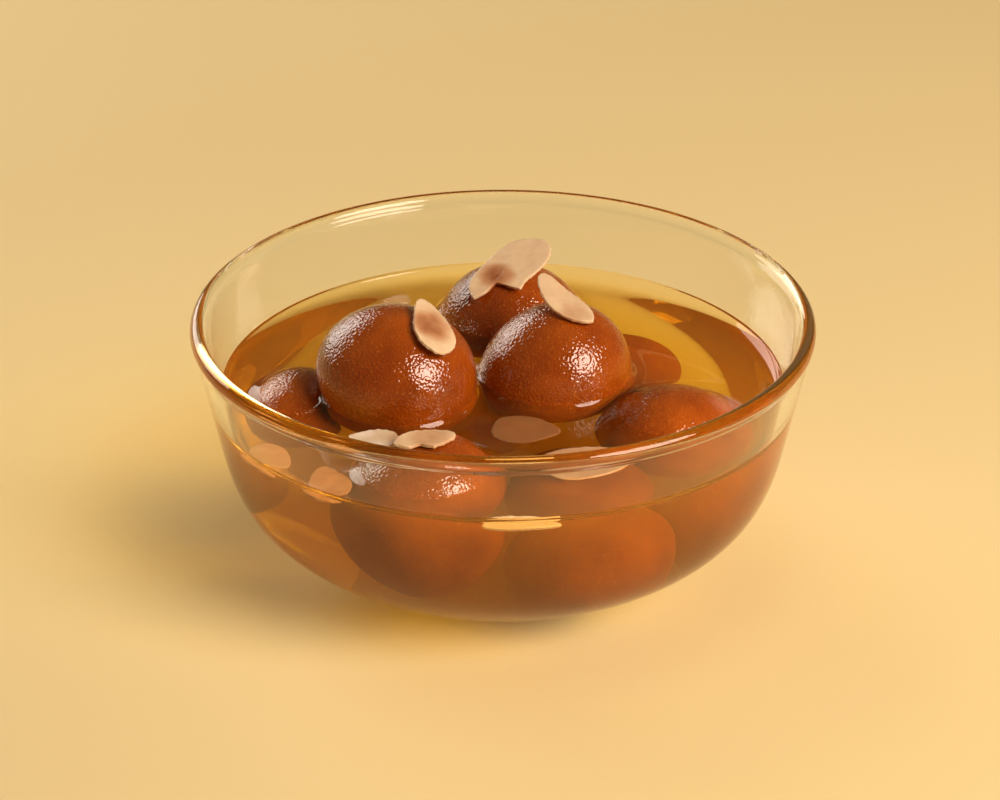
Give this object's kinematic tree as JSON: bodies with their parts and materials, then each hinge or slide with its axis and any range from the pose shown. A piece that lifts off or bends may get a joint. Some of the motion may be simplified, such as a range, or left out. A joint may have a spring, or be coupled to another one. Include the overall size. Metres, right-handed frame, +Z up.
{
  "type": "bowl of gulab jamun",
  "caption": "Round fried milk-dough sweets lying in amber sugar syrup with sliced almonds, in a clear glass bowl with a rolled rim and a flat base.",
  "frame": {"origin": "centre of the bowl's flat base, on the surface it stands on", "axes": "+Z up along the bowl's axis, -Y towards the side that the dish is seen from, +X to its right"},
  "size_m": [0.1698, 0.1698, 0.0794],
  "materials": {
    "glass": "clear pressed soda-lime glass, fire polished",
    "syrup": "clear amber sugar syrup, wet and still",
    "fried_dough": "deep-fried milk dough, finely wrinkled and wet with syrup",
    "almond": "sliced almond, cream edge and darker centre, moist"
  },
  "bodies": {
    "root": {"bowl": "glass", "syrup": "syrup", "ball_front_top": "fried_dough", "ball_middle": "fried_dough", "ball_back": "fried_dough", "ball_left": "fried_dough", "ball_front_low": "fried_dough", "ball_right": "fried_dough", "almond_front_top": "almond", "almond_back": "almond", "almond_middle": "almond", "almond_pair_left": "almond", "almond_pair_right": "almond", "almond_afloat_middle": "almond", "almond_afloat_right": "almond", "almond_afloat_left": "almond", "almond_afloat_near": "almond", "almond_afloat_front": "almond"}
  },
  "joints": []
}
